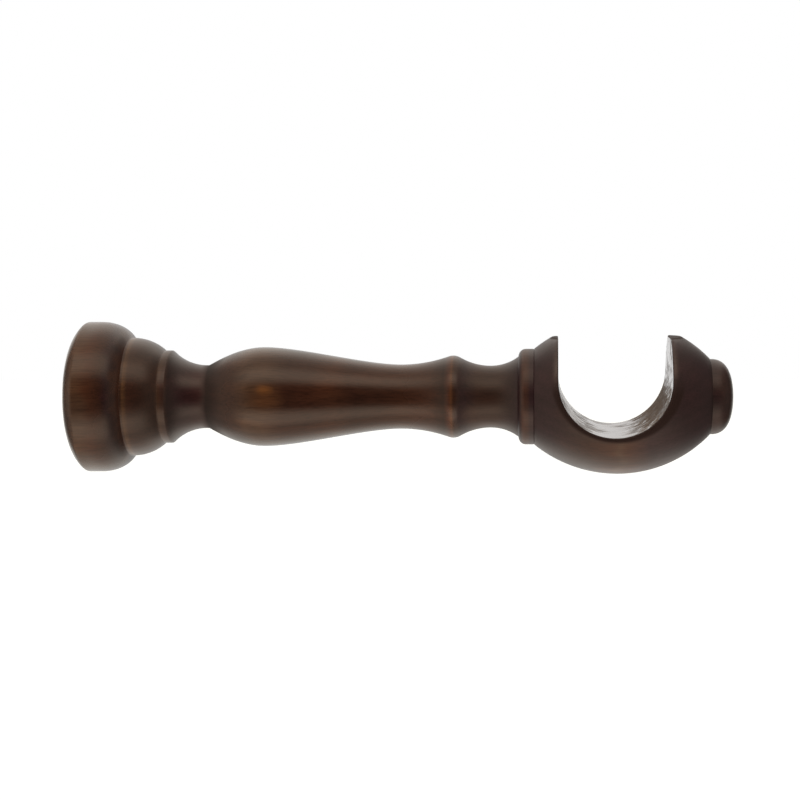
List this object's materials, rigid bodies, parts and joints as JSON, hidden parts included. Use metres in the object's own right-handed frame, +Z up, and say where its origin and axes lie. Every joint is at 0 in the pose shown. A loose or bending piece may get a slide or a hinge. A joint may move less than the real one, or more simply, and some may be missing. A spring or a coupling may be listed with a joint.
{
  "type": "curtain pole bracket",
  "caption": "Turned wooden wall bracket for a curtain pole: a stepped round flange, a baluster arm and a ball-shaped cup with an open-topped seat that the pole drops into.",
  "frame": {"origin": "centre of the wall face, at the mouth of the fixing hole", "axes": "+X along the turning axis, away from the wall; +Z up, the way the pole lifts out of the seat; Y along the pole"},
  "size_m": [0.1733, 0.0398, 0.0401],
  "materials": {
    "stained_wood": "turned hardwood, dark walnut stain under a satin lacquer"
  },
  "bodies": {
    "root": {"bracket": "stained_wood"}
  },
  "joints": []
}
